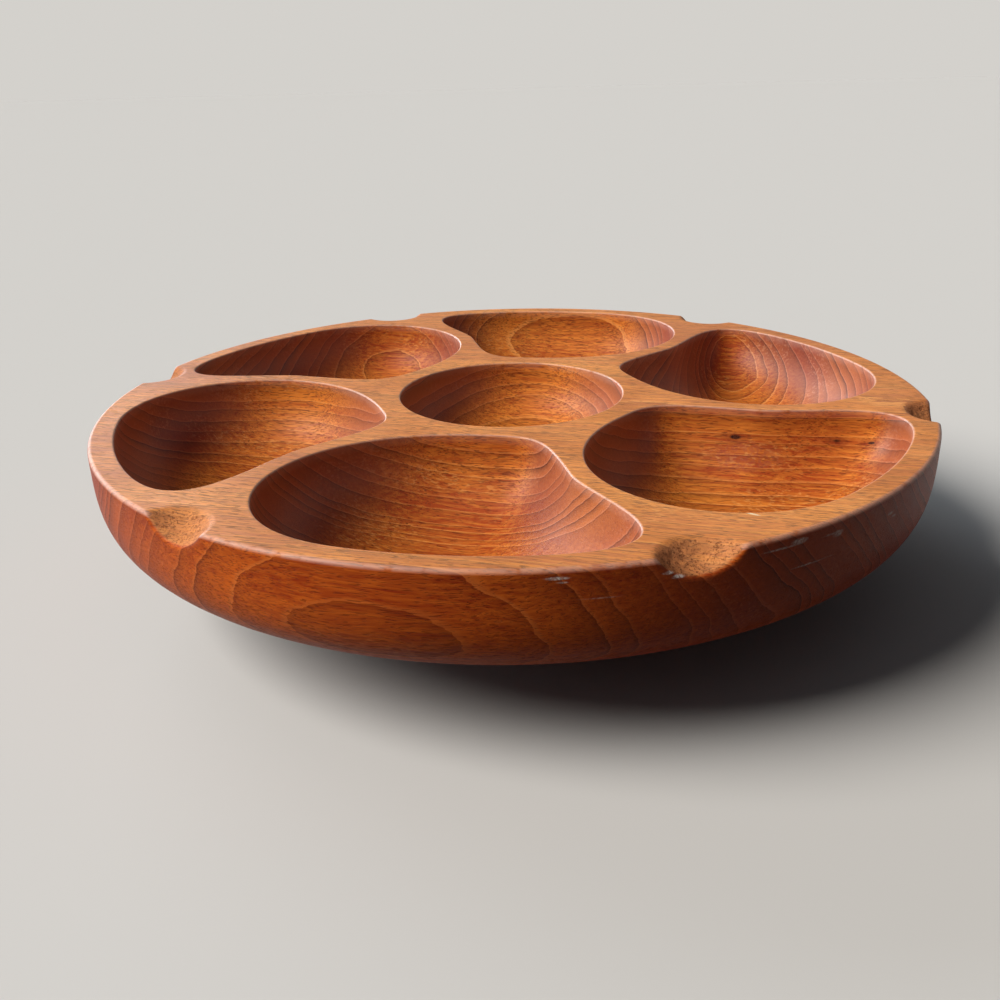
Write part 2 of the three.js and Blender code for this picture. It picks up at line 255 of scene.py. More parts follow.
def makeLight(s):
    for name in ("window", "glow"):
        data = bpy.data.lights.new(name + "Light", "SUN")
        data.energy = s[name]["strength"]
        data.angle = radians(s[name]["spread"])
        data.color = s[name]["colour"]
        lamp = bpy.data.objects.new(name + "Light", data)
        lamp.rotation_euler = Vector(s[name]["toward"]).to_track_quat("Z", "Y").to_euler()
        scene.collection.objects.link(lamp)
    room = s["room"]
    world = bpy.data.worlds.new("softRoom")
    scene.world = world
    world.use_nodes = True
    tree = world.node_tree
    tree.nodes.clear()
    heading = put(tree, "ShaderNodeTexCoord").outputs["Generated"]
    facing = vectors(tree, "DOT_PRODUCT", heading, Vector(room["toward"]).normalized())["Value"]
    soft = blendColour(tree, ramp(tree, facing, *room["fade"]), room["dim"], room["bright"])
    # what the eye sees is pale near the horizon, with the room above it
    lift = parts(tree, heading)[2]
    far = blendColour(tree, ramp(tree, lift, *s["backdropTop"]), s["backdrop"], soft)
    colour = blendColour(tree, seenRays(tree), soft, far)
    sky = put(tree, "ShaderNodeBackground", {}, {"Color": colour, "Strength": 1.0})
    put(tree, "ShaderNodeOutputWorld", {}, {"Surface": sky.outputs[0]})


makeCamera(cameraSet)
makeFloor(floorSet)
makeLight(lightSet)
print("stage: camera, floor and light are up")


# shared effects

def makeTeakGrain():
    # place is in millimetres, fibres along X, the heart of the tree on the X axis
    tree, given, result = newGroup("teakGrain", "ShaderNodeTree", [
        ("Place", "Vector"), ("Ring Spacing", "Float", 8.0), ("Ring Shift", "Float", 0.0),
        ("Wander", "Float", 12.0), ("Ring Depth", "Float", 0.9), ("Pore Depth", "Float", 0.8),
        ("Streak Depth", "Float", 3.0), ("Golden", "Color", shade(226, 136, 52)),
        ("Red", "Color", shade(166, 71, 28)), ("Dark", "Color", shade(70, 22, 9)),
        ("Pore", "Color", shade(86, 33, 12)), ("Fleck", "Color", shade(232, 158, 84)),
    ], [("Colour", "Color"), ("Roughness", "Float"), ("Height", "Float")])
    place = given["Place"]
    cut = parts(tree, place)

    def wave(along, scale, detail):  # a noise about zero
        return less(tree, cloud(tree, stretched(tree, place, along), scale, detail), 0.5)

    heart = calc(tree, "ADD", hypotenuse(tree, cut[1], cut[2]), given["Ring Shift"])
    warped = timesAdd(tree, wave(0.4, 0.0085, 1.0), given["Wander"], heart)
    warped = timesAdd(tree, wave(0.35, 0.055, 1.0), 3.4, warped)
    warped = timesAdd(tree, wave(0.3, 0.4, 2.0), 0.7, warped)
    year = calc(tree, "DIVIDE", warped, given["Ring Spacing"])
    pace = put(tree, "ShaderNodeTexNoise", {"noise_dimensions": "1D"}, {
        "W": year, "Scale": 0.43, "Detail": 1.0}).outputs[0]
    year = timesAdd(tree, pace, 1.7, year)
    within = calc(tree, "FRACT", year)
    whole = calc(tree, "FLOOR", year)
    tone = put(tree, "ShaderNodeTexWhiteNoise", {"noise_dimensions": "1D"}, {"W": whole}).outputs[0]
    # each year starts with a thin dark line that fades out slowly, and ends a little paler
    line = times(tree, ramp(tree, within, 0.0, 0.025), ramp(tree, within, 0.05, 0.13, 1.0, 0.0))
    fade = calc(tree, "POWER", less(tree, 1.0, within), 1.8)
    late = timesAdd(tree, fade, 0.55, times(tree, line, 0.14))
    late = times(tree, late, timesAdd(tree, tone, 0.7, 0.3))
    pale = times(tree, ramp(tree, within, 0.84, 0.98), timesAdd(tree, tone, 0.3, 0.28))
    # wavy fibres: long streaks, short pores, and bands of curly flecks
    sway = put(tree, "ShaderNodeTexNoise", {}, {
        "Vector": stretched(tree, place, 0.6), "Scale": 0.07, "Detail": 1.0}).outputs[1]
    waved = vectors(tree, "MULTIPLY_ADD", sway, (0.0, 3.0, 3.0), place)[0]
    streak = cloud(tree, stretched(tree, waved, 0.05), 0.75, 3.0, 0.65, 0.3)
    drift = cloud(tree, stretched(tree, place, 0.35), 0.017, 2.0)
    dashes = cloud(tree, stretched(tree, waved, 0.085), 2.2, 1.0, 0.5, 0.2)
    crowd = timesAdd(tree, fade, -0.05, timesAdd(tree, drift, -0.16, 0.69))
    pores = ramp(tree, less(tree, dashes, crowd), -0.03, 0.07)
    band = ramp(tree, cloud(tree, stretched(tree, place, 0.25), 0.045, 1.0), 0.5, 0.66)
    curl = ramp(tree, cloud(tree, stretched(tree, waved, 0.38), 0.85, 2.0), 0.52, 0.66)
    warm = timesAdd(tree, less(tree, drift, 0.5), 1.9, timesAdd(tree, tone, 0.3, 0.37))
    warm = timesAdd(tree, less(tree, streak, 0.5), given["Streak Depth"], warm, clamp=True)
    colour = blendColour(tree, warm, given["Red"], given["Golden"])
    colour = tinted(tree, colour, times(tree, band, curl), 0.55, given["Fleck"])
    colour = blendColour(tree, pale, colour, given["Fleck"])
    ring = calc(tree, "MULTIPLY", late, given["Ring Depth"], clamp=True)
    colour = blendColour(tree, ring, colour, given["Dark"])
    colour = tinted(tree, colour, pores, given["Pore Depth"], given["Pore"])
    tree.links.new(colour, result["Colour"])
    rough = timesAdd(tree, streak, 0.16, 0.33)
    tree.links.new(timesAdd(tree, pores, 0.18, rough), result["Roughness"])
    height = timesAdd(tree, pores, -0.8, times(tree, streak, 0.35))
    tree.links.new(timesAdd(tree, late, -0.25, height), result["Height"])
    return tree


def makeSpotMask():
    # an oval patch round a centre, drawn out along one level direction, broken up by a fine noise
    tree, given, result = newGroup("spotMask", "ShaderNodeTree", [
        ("Place", "Vector"), ("Centre", "Vector"), ("Along", "Vector", (1, 0, 0)),
        ("Length", "Float", 5.0), ("Width", "Float", 2.0), ("Grit", "Float", 0.5), ("Broken", "Float", 0.0),
    ], [("Mask", "Float")])
    away = vectors(tree, "SUBTRACT", given["Place"], given["Centre"])[0]
    run = vectors(tree, "DOT_PRODUCT", away, given["Along"])["Value"]
    whole = vectors(tree, "LENGTH", away)["Value"]
    across = less(tree, times(tree, whole, whole), times(tree, run, run))
    across = calc(tree, "SQRT", calc(tree, "MAXIMUM", across, 0.0))
    run = calc(tree, "DIVIDE", run, given["Length"])
    across = calc(tree, "DIVIDE", across, given["Width"])
    body = ramp(tree, hypotenuse(tree, run, across), 1.0, 0.45)
    torn = ramp(tree, cloud(tree, given["Place"], given["Grit"], 3.0, 0.5, 0.8), 0.48, 0.54)
    keep = timesAdd(tree, less(tree, torn, 1.0), given["Broken"], 1.0)
    tree.links.new(times(tree, body, keep), result["Mask"])
    return tree


def makeMetalSkin():
    # rolled or plated metal: faint crystal patches, fine lines along X, and a film of old grease
    tree, given, result = newGroup("metalSkin", "ShaderNodeTree", [
        ("Place", "Vector"), ("Tint", "Color", (0.6, 0.6, 0.6, 1)), ("Crystal", "Float", 0.12),
        ("Polish", "Float", 0.3), ("Grease", "Float", 0.3), ("Grease Colour", "Color", shade(92, 74, 50)),
    ], [("Colour", "Color"), ("Roughness", "Float"), ("Height", "Float")])
    place = given["Place"]
    cells = put(tree, "ShaderNodeTexVoronoi", {}, {"Vector": place, "Scale": 0.45, "Randomness": 1.0})
    patch = put(tree, "ShaderNodeSeparateColor", {}, {0: cells.outputs["Color"]}).outputs[0]
    lines = cloud(tree, stretched(tree, place, 0.06), 2.2, 2.0, 0.6)
    film = ramp(tree, cloud(tree, place, 0.11, 4.0, 0.6, 0.4), 0.46, 0.68)
    film = times(tree, film, given["Grease"])
    light = timesAdd(tree, less(tree, patch, 0.5), given["Crystal"], 1.0)
    light = timesAdd(tree, less(tree, lines, 0.5), 0.18, light)
    scaled = {0: given["Tint"], "Scale": light}
    colour = put(tree, "ShaderNodeVectorMath", {"operation": "SCALE"}, scaled).outputs[0]
    tree.links.new(blendColour(tree, film, colour, given["Grease Colour"]), result["Colour"])
    rough = timesAdd(tree, lines, 0.14, given["Polish"])
    rough = timesAdd(tree, patch, times(tree, given["Crystal"], 0.6), rough)
    tree.links.new(timesAdd(tree, film, 0.18, rough), result["Roughness"])
    tree.links.new(timesAdd(tree, film, 0.3, lines), result["Height"])
    return tree


def makeFeltNap():
    # matted wool: short crossing fibres with a few pale hairs
    tree, given, result = newGroup("feltNap", "ShaderNodeTree", [
        ("Place", "Vector"), ("Wool", "Color", shade(66, 78, 60)),
        ("Hair", "Color", shade(150, 152, 130)),
    ], [("Colour", "Color"), ("Height", "Float")])
    first = cloud(tree, stretched(tree, given["Place"], 0.35), 2.6, 3.0, 0.65, 1.5)
    crossed = vectors(tree, "MULTIPLY", given["Place"], (1.0, 0.35, 1.0))[0]
    second = cloud(tree, crossed, 2.3, 3.0, 0.65, 1.5)
    nap = calc(tree, "MAXIMUM", first, second)
    deep = vectors(tree, "MULTIPLY", given["Wool"], (0.45, 0.45, 0.45))[0]
    colour = blendColour(tree, ramp(tree, nap, 0.45, 0.75), deep, given["Wool"])
    colour = tinted(tree, colour, ramp(tree, first, 0.68, 0.74), 0.35, given["Hair"])
    tree.links.new(colour, result["Colour"])
    tree.links.new(nap, result["Height"])
    return tree


teakGrain = makeTeakGrain()
spotMask = makeSpotMask()
metalSkin = makeMetalSkin()
feltNap = makeFeltNap()

bowlMarks = ("edgeWear", "notchCut", "hollowSkin", "outerSkin")
bowlWood = {
    "turn": 15.0, "heart": (0, -10, -168), "spacing": 5.3, "topLevel": 80.3,
    "lensFrom": (-200, -150), "lensPull": 0.27, "lensLevel": -112.0, "lensSize": 2.1,
    # each pair is for wood cut along its fibres and for wood cut across them
    "poreDepth": (0.75, 0.15), "streakDepth": (2.5, 0.9), "ringDepth": (0.85, 1.5),
    "pores": 0.82, "topPores": 0.45, "outerPores": -0.22,
    "oil": 0.12, "endOil": 0.7, "edgeOil": 0.5, "leastOil": 0.03,
    # the end grain tint below darkens end grain, and its raised blue paints a pinkish sheen
    "endGrainAndSheen": (0.69, 0.66, 1.45, 1), "knotHeart": shade(42, 14, 8),
    "scuffed": shade(246, 234, 224), "nicked": shade(236, 214, 176),
    # tints: how much of the wood they cover up, and their colour
    # the outside tint below makes the outside redder, and darker as painted shade
    "outside": (0.8, (0.93, 0.5, 0.34, 1)), "handled": (0.5, (0.72, 0.62, 0.55, 1)),
    # the paler top tint below is a painted reflection
    "paleTopReflection": (0.24, shade(250, 190, 130)), "freshCut": (0.28, shade(212, 138, 92)),
    "tear": (0.6, shade(96, 42, 20)), "wornEdgeAndHighlight": (0.3, shade(242, 204, 186)),
    "mottled": (0.45, shade(150, 72, 56)), "knotHalo": (0.5, shade(112, 40, 18)),
    # marks: centre in millimetres, its height counted from the rim; heading in degrees; length; width
    "scuffs": (
        ((10.3, -194.4, -3.4), 3, 4.0, 0.6), ((11.8, -194.3, -4.9), 3, 2.5, 0.4),
        ((24.0, -192.9, -11.3), 7, 8.0, 0.5), ((46.0, -189.0, -5.2), 14, 2.6, 0.6),
        ((49.5, -188.1, -7.0), 14, 3.0, 0.7), ((52.0, -187.4, -6.2), 15, 2.0, 0.5),
        ((87.0, -174.0, -4.6), 27, 9.0, 0.5), ((92.5, -171.2, -3.6), 28, 3.5, 1.0),
        ((99.0, -167.5, -13.5), 31, 9.0, 0.4), ((106.2, -163.0, -5.0), 33, 6.0, 0.5),
        ((108.5, -161.5, -5.6), 34, 2.6, 1.1), ((134.5, -140.3, -8.0), 45, 3.0, 0.7),
        ((136.5, -138.3, -9.8), 45, 2.4, 0.7), ((138.0, -136.9, -7.0), 45, 2.0, 0.5),
        ((139.5, -135.3, -10.5), 46, 2.6, 0.5)),
    "knots": (
        ((101.8, -38.6, -13.1), -10, 3.6, 1.5), ((146.7, -45.2, -14.0), -8, 2.8, 1.1),
        ((160.3, -49.0, -14.0), -8, 3.4, 0.9)),
    "mottle": ((105.7, -44.0, -21.1), -12, 24.0, 9.0),
    "nick": ((80.4, -156.5, 0.0), -35, 3.4, 0.8),
    "scuffSpread": (1.3, 1.4), "haloSpread": (2.6, 2.4),
}


def makeBowlWood(s):
    look, tree = newLook("bowlTeak")
    place = inMillimetres(tree, s["turn"], s["heart"])
    flat = inMillimetres(tree, 0.0, (0, 0, -s["topLevel"]))
    edge, notch, hollow, outer = (markOf(tree, name) for name in bowlMarks)
    top = calc(tree, "SUBTRACT", less(tree, 1.0, hollow), outer, clamp=True)
    # towards the front the rings stand up, so that the outside cuts them in a lens
    cut = parts(tree, place)
    upright = ramp(tree, cut[1], *s["lensFrom"], s["lensPull"], 0.0)
    shift = timesAdd(tree, upright, less(tree, cut[2], s["lensLevel"]), s["lensSize"])
    # pores show as dashes along the fibres and hardly at all where the fibres end
    shown = timesAdd(tree, top, s["topPores"], timesAdd(tree, outer, s["outerPores"], s["pores"]))
    facing = put(tree, "ShaderNodeTexCoord").outputs["Normal"]
    fibres = (*polar(1, -s["turn"]), 0)
    ending = calc(tree, "ABSOLUTE", vectors(tree, "DOT_PRODUCT", facing, fibres)["Value"])
    ended = ramp(tree, ending, 0.2, 0.75)

    def fromTo(pair):
        return ramp(tree, ending, 0.25, 0.75, *pair)

    grain = effect(tree, teakGrain, {
        "Place": place, "Ring Spacing": s["spacing"], "Ring Shift": shift,
        "Pore Depth": times(tree, fromTo(s["poreDepth"]), shown),
        "Streak Depth": fromTo(s["streakDepth"]), "Ring Depth": fromTo(s["ringDepth"])})

    def mask(centre, heading, length, width, grit, broken, spread=(1, 1)):
        return effect(tree, spotMask, {
            "Place": flat, "Centre": centre, "Along": (*polar(1, heading), 0), "Length": spread[0] * length,
            "Width": spread[1] * width, "Grit": grit, "Broken": broken})[0]

    # end grain is darker from more oil, and its pinkish tint is a painted sheen; the flat top is paler, a
    # painted reflection; the outside is redder, and darker as painted shade
    colour = blendColour(tree, ended, grain["Colour"], s["endGrainAndSheen"], "MULTIPLY")
    colour = tinted(tree, colour, top, *s["paleTopReflection"])
    colour = tinted(tree, colour, outer, *s["outside"], "MULTIPLY")
    touched = times(tree, ramp(tree, cloud(tree, flat, 0.028, 3.0), 0.38, 0.62), top)
    colour = tinted(tree, colour, touched, *s["handled"], "MULTIPLY")
    tears = times(tree, ramp(tree, cloud(tree, flat, 1.1, 3.0, 0.6, 0.5), 0.52, 0.66), notch)
    colour = tinted(tree, colour, notch, *s["freshCut"])
    colour = tinted(tree, colour, tears, *s["tear"])
    # paler edges: partly wear, partly a painted highlight line
    wearAndHighlight = times(tree, edge, ramp(tree, cloud(tree, flat, 0.2, 2.0), 0.2, 0.5))
    colour = tinted(tree, colour, wearAndHighlight, *s["wornEdgeAndHighlight"])
    colour = tinted(tree, colour, mask(*s["mottle"], grit=0.45, broken=0.7), *s["mottled"])
    for knot in s["knots"]:
        halo = mask(*knot, grit=0.5, broken=0.3, spread=s["haloSpread"])
        colour = tinted(tree, colour, halo, *s["knotHalo"])
        colour = blendColour(tree, mask(*knot, grit=1.2, broken=0.2), colour, s["knotHeart"])
    for scuff in s["scuffs"]:
        scratch = mask(*scuff, grit=0.7, broken=0.6, spread=s["scuffSpread"])
        colour = tinted(tree, colour, scratch, outer, s["scuffed"])
    colour = blendColour(tree, mask(*s["nick"], grit=1.5, broken=0.3), colour, s["nicked"])
    rough = timesAdd(tree, top, 0.1, timesAdd(tree, notch, 0.25, grain["Roughness"]))
    # the hollows keep the most oil, and end grain takes the best polish
    oil = times(tree, hollow, timesAdd(tree, ended, s["endOil"], s["oil"]))
    oil = timesAdd(tree, edge, s["edgeOil"], calc(tree, "ADD", oil, s["leastOil"]), clamp=True)
    bump = bumpFrom(tree, timesAdd(tree, tears, -1.2, grain["Height"]), strength=0.5, depth=0.22)
    finishLook(tree, {
        "Base Color": colour, "Roughness": rough, "Normal": bump, "Specular IOR Level": 0.09,
        "Coat Weight": oil, "Coat Roughness": 0.5})
    return look


bowlTeak = makeBowlWood(bowlWood)
print("stage: wood is mixed")


# copies round the axis, joined with a body that isn't repeated

def makeRoundTree():
    tree, given, result = newGroup("copiesRound", "GeometryNodeTree", [
        ("Geometry", "Geometry"), ("Body", "Object"), ("Count", "Int", 6),
        ("Start", "Float", 0.0), ("Seam", "Float", 0.00001), ("Finish", "Material"),
    ], [("Geometry", "Geometry")])
    tree.is_modifier = True
    points = put(tree, "GeometryNodePoints", {}, {"Count": given["Count"]})
    number = put(tree, "GeometryNodeInputIndex").outputs[0]
    step = calc(tree, "DIVIDE", 2 * pi, given["Count"])
    angle = timesAdd(tree, number, step, given["Start"])
    turn = put(tree, "FunctionNodeAxisAngleToRotation", {}, {"Axis": (0, 0, 1), "Angle": angle})
    copies = put(tree, "GeometryNodeInstanceOnPoints", {}, {
        "Points": points.outputs[0], "Instance": given["Geometry"], "Rotation": turn.outputs[0]})
    body = put(tree, "GeometryNodeObjectInfo", {}, {"Object": given["Body"]})
    both = put(tree, "GeometryNodeJoinGeometry", {}, {0: copies.outputs[0]})
    tree.links.new(body.outputs["Geometry"], both.inputs[0])
    solid = put(tree, "GeometryNodeRealizeInstances", {}, {0: both.outputs[0]}).outputs[0]
    joined = put(tree, "GeometryNodeMergeByDistance", {}, {"Geometry": solid, "Distance": given["Seam"]})
    smooth = put(tree, "GeometryNodeSetShadeSmooth", {}, {"Geometry": joined.outputs[0]}).outputs[0]
    painted = put(tree, "GeometryNodeSetMaterial", {}, {"Geometry": smooth, "Material": given["Finish"]})
    tree.links.new(painted.outputs[0], result["Geometry"])
    return tree


copiesRound = makeRoundTree()


def repeatRound(made, count, finish, seam, **others):  # seam in millimetres
    modifier = made.modifiers.new("build", "NODES")
    modifier.node_group = copiesRound
    values = {"Count": count, "Finish": finish, "Seam": seam * mm, **others}
    for item in copiesRound.interface.items_tree:
        if item.in_out == "INPUT" and item.name in values:
            modifier[item.identifier] = values[item.name]
    graph = bpy.context.evaluated_depsgraph_get()
    built = made.evaluated_get(graph)
    mesh = bpy.data.meshes.new_from_object(built, preserve_all_data_layers=True, depsgraph=graph)
    made.modifiers.remove(modifier)
    old = made.data
    made.data = mesh
    mesh.name = made.name
    bpy.data.meshes.remove(old)
    outwards(made)


class Patch:  # rows of points that become one strip of faces after another
    def __init__(self, *marks):
        self.points, self.faces, self.marks = [], [], {mark: [] for mark in marks}

    def add(self, point, **marks):
        self.points.append(point)
        for mark, values in self.marks.items():
            values.append(marks.get(mark, 0.0))
        return len(self.points) - 1

    def row(self, flat, level, **marks):
        return [self.add((p[0], p[1], level), **marks) for p in flat]

    def strip(self, upper, lower, closed=True):
        for i in range(len(upper) if closed else len(upper) - 1):
            j = (i + 1) % len(upper)
            self.faces.append((upper[i], lower[i], lower[j], upper[j]))

    def strips(self, rows, closed=True):
        for upper, lower in zip(rows, rows[1:]):
            self.strip(upper, lower, closed)

    def fan(self, ring, tip, closed=True):
        for i in range(len(ring) if closed else len(ring) - 1):
            self.faces.append((ring[i], tip, ring[(i + 1) % len(ring)]))

    def web(self, loop, holes):  # flat faces between one outer loop and the loops inside it
        flat = [[Vector((*self.points[i][:2], 0)) for i in ring] for ring in (loop, *holes)]
        known = [i for ring in (loop, *holes) for i in ring]
        for corners in tessellate_polygon(flat):
            self.faces.append(tuple(known[k] for k in corners))

    def made(self, name, place=Matrix()):
        return meshObject(name, [place @ (Vector(p) * mm) for p in self.points], self.faces, self.marks)


# bowl

bowlSet = {
    "hollows": 6, "firstHollow": -105.0, "footRadius": 88.0, "sideFullness": 2.5, "floorFullness": 4.0,
    "rimRound": 1.9, "rimWidth": 10.0, "hubWall": 10.0, "partition": 7.5, "centreRadius": 55.0,
    "depth": 40.0, "centreDepth": 36.0, "edge": 0.9, "fullness": 2.4, "deepest": -2.0,
    "rimArc": (-4.4, 15.1), "hubArc": (5.8, 4.0), "flankHold": (0.77, 0.62), "tailHold": (0.625, 0.2),
    "heelHold": (0.33, 0.19), "strip": 0.5, "outlinePoints": 132, "lipRows": 6, "wallRows": 26,
    "finePoints": {"rim": 200, "tail": 400, "heel": 300, "hub": 20, "flank": 400},
    "topRows": 16, "roundRows": 8, "closeRows": (1.0, 18.0, 1.0), "wideRows": (19.5, 2.4), "bendFrom": 0.93,
    "footRows": 12,
    "notchAngle": 33.5, "notchDrifts": (-1.3, -2.7, 1.5, 3.3, -3.2, 2.5), "notchBall": 21.0, "notchOut": 4.1,
    "notchUp": 12.6, "notchSoft": 2.6, "notchRough": 0.35, "notchGrit": (0.45, 1.1), "notchSpan": 7.8,
    "notchLowest": -22.0, "notchColumns": 62, "plainColumns": 40, "lipReach": 3.4, "topStrip": 7.8,
    "coreInset": 25.0, "undersideRings": (62.0, 30.0),
}


def bezier(first, hold, last, pull, count):  # hold and pull are counted from the two ends
    t = np.linspace(0, 1, count)[:, None]
    leave, arrive = 3 * t * (1 - t) ** 2 * (first + hold), 3 * t * t * (1 - t) * (last + pull)
    return (1 - t) ** 3 * first + leave + arrive + t ** 3 * last


def hollowOutline(s, rim, count):
    outer, inner = rim - s["rimWidth"], s["centreRadius"] + s["hubWall"]
    span = outer - inner
    at = lambda radius, degrees: polar(radius, 90 + degrees)
    along = lambda degrees, hold: polar(hold * span, 180 + degrees)
    (rimStart, rimEnd), (hubStart, hubEnd), fine = s["rimArc"], s["hubArc"], s["finePoints"]
    flank = bezier(at(inner, hubEnd), -along(hubEnd, s["flankHold"][0]),
                   at(outer, rimStart), -along(rimStart, s["flankHold"][1]), fine["flank"])
    angles = np.arctan2(flank[:, 1], flank[:, 0])
    fullest = flank[angles.argmin()]
    fullRadius = np.hypot(*fullest)
    # the waist lies one wall away from the fullest place of the next hollow
    waistAngle = angles.min() + 2 * pi / s["hollows"] - s["partition"] / fullRadius
    outward = np.array([cos(waistAngle), sin(waistAngle)])
    waist = outward * fullRadius
    tail = bezier(at(outer, rimEnd), along(rimEnd, s["tailHold"][0]),
                  waist, outward * s["tailHold"][1] * span, fine["tail"])
    heel = bezier(waist, -outward * s["heelHold"][0] * span,
                  at(inner, hubStart), along(hubStart, s["heelHold"][1]), fine["heel"])
    rimArc = np.array([at(outer, a) for a in np.linspace(rimStart, rimEnd, fine["rim"])])
    hubArc = np.array([at(inner, a) for a in np.linspace(hubStart, hubEnd, fine["hub"])])
    path = np.concatenate([rimArc[:-1], tail[:-1], heel[:-1], hubArc[:-1], flank])
    run = np.concatenate([[0], np.cumsum(np.hypot(*np.diff(path, axis=0).T))])
    even = np.linspace(0, run[-1], count + 1)[:-1]
    return np.stack([np.interp(even, run, path[:, 0]), np.interp(even, run, path[:, 1])], 1)


def pushedIn(outline, amount):
    ahead = np.roll(outline, -1, 0) - np.roll(outline, 1, 0)
    ahead /= np.hypot(ahead[:, 0], ahead[:, 1])[:, None]
    return outline + amount * np.stack([-ahead[:, 1], ahead[:, 0]], 1)


def sinkHollow(patch, s, deepest, depth, closed, inset):
    edge, lipRows, wallRows = s["edge"], s["lipRows"], s["wallRows"]
    rows = [patch.row(inset(-s["strip"]), 0.0), patch.row(inset(0.0), 0.0)]
    for k in range(1, lipRows + 1):
        angle = pi / 2 * k / lipRows
        rows.append(patch.row(inset(edge * sin(angle)), -edge * (1 - cos(angle)),
                              edgeWear=sin(pi * k / (lipRows + 1)), hollowSkin=k / lipRows))
    wall = inset(edge)
    for k in range(1, wallRows):
        angle = pi / 2 * k / wallRows
        share = cos(angle) ** (2 / s["fullness"])
        sunk = edge + (depth - edge) * sin(angle) ** (2 / s["fullness"])
        rows.append(patch.row(deepest + (wall - deepest) * share, -sunk, hollowSkin=1.0))
    patch.strips(rows, closed)
    patch.fan(rows[-1], patch.add((deepest[0], deepest[1], -depth), hollowSkin=1.0), closed)


def smoothLess(first, second, soft):  # the lesser of two lengths, with a soft corner
    h = np.clip(0.5 + 0.5 * (second - first) / soft, 0, 1)
    return second + (first - second) * h - soft * h * (1 - h)


def rimProfile(s, rim, height):
    # the section from the top strip to the foot, with its edge wear and painted highlight, and its share of
    # the outside
    rounding, foot = s["rimRound"], s["footRadius"]
    sideHeight = height - rounding
    count = s["topRows"]
    profile = [("top", k / count, 0.0, 0.0) for k in range(count + 1)]
    count = s["roundRows"]
    for k in range(1, count + 1):
        angle = pi / 2 * k / count
        radius = rim - rounding + rounding * sin(angle)
        profile.append((radius, -rounding * (1 - cos(angle)), sin(pi * k / count), k / count))
    # rows lie close together where the notches reach and wider apart below
    wideFrom, wideStep = s["wideRows"]
    wide = np.arange(wideFrom, s["bendFrom"] * sideHeight, wideStep)
    for depth in [*np.arange(*s["closeRows"]), *wide]:
        q = depth / sideHeight
        out = (1 - q ** s["floorFullness"]) ** (1 / s["sideFullness"])
        profile.append((foot + (rim - foot) * out, -rounding - depth, 0.0, 1.0))
    for radius in np.linspace(profile[-1][0], foot, s["footRows"])[1:]:
        out = (radius - foot) / (rim - foot)
        q = (1 - out ** s["sideFullness"]) ** (1 / s["floorFullness"])
        profile.append((radius, -rounding - sideHeight * q, 0.0, 1.0))
    return profile


def scoopNotch(s, core, ball, direction, radius, level):
    # a ray from the core to the rim, shortened where the notch's ball takes wood away
    ray = np.array([radius - core[0], level - core[1]])
    full = np.hypot(*ray)
    ray /= full
    start = np.array([*(core[0] * direction), core[1]])
    heading = np.array([*(ray[0] * direction), ray[1]])
    apart = ball - start
    near = heading @ apart
    inside = near * near - (apart @ apart - s["notchBall"] ** 2)
    cut = 0.0
    if inside > 0:
        meet = near - sqrt(inside)
        cut = float(np.clip(full - meet, 0, 1))
        if cut > 0:
            spot = Vector(start + heading * meet)
            coarse, fine = (noise.noise(spot * grit) for grit in s["notchGrit"])
            meet += cut * s["notchRough"] * (coarse + 0.5 * fine)
        full = float(smoothLess(full, meet, s["notchSoft"]))
    radius, level = core + ray * full
    return radius, level, cut


def rimShell(patch, s, rim, height, notches):
    core = np.array([rim - s["coreInset"], -s["coreInset"]])
    turnIn = rim - s["rimRound"]
    middle = rim + s["notchOut"]
    span = s["notchSpan"]
    columns = []  # the angle of each column, its nearest notch, and whether it crosses that notch
    for notch, after in zip(notches, [*notches[1:], notches[0] + 360]):
        columns += [(a, notch, True) for a in np.linspace(notch - span, notch + span, s["notchColumns"])]
        plain = np.linspace(notch + span, after - span, s["plainColumns"])[1:-1]
        columns += [(a, notch, False) for a in plain]
    reach = sqrt(s["notchBall"] ** 2 - s["notchUp"] ** 2) + s["lipReach"]
    lip = []
    for angle, notch, crossed in columns:
        aside, ahead = middle * polar(1, angle - notch)[::-1]
        dip = ahead - sqrt(reach ** 2 - aside ** 2) if abs(aside) < reach else rim
        lip.append(min(rim - s["topStrip"], dip))
    rows = []
    for first, second, wearAndHighlight, outer in rimProfile(s, rim, height):
        row = []
        for (angle, notch, crossed), inner in zip(columns, lip):
            radius, level = (inner + (turnIn - inner) * second, 0.0) if first == "top" else (first, second)
            direction = polar(1, angle)
            cut = 0.0
            if crossed and level > s["notchLowest"]:
                ball = np.array([*polar(middle, notch), s["notchUp"]])
                radius, level, cut = scoopNotch(s, core, ball, direction, radius, level)
            row.append(patch.add((*(radius * direction), level), edgeWear=wearAndHighlight * (1 - cut),
                                 notchCut=cut, outerSkin=outer * (1 - cut)))
        rows.append(row)
    for radius in s["undersideRings"]:
        rows.append([patch.add((*polar(radius, column[0]), -height), outerSkin=1.0) for column in columns])
    patch.strips(rows)
    patch.fan(rows[-1], patch.add((0.0, 0.0, -height), outerSkin=1.0))
    return rows[0]


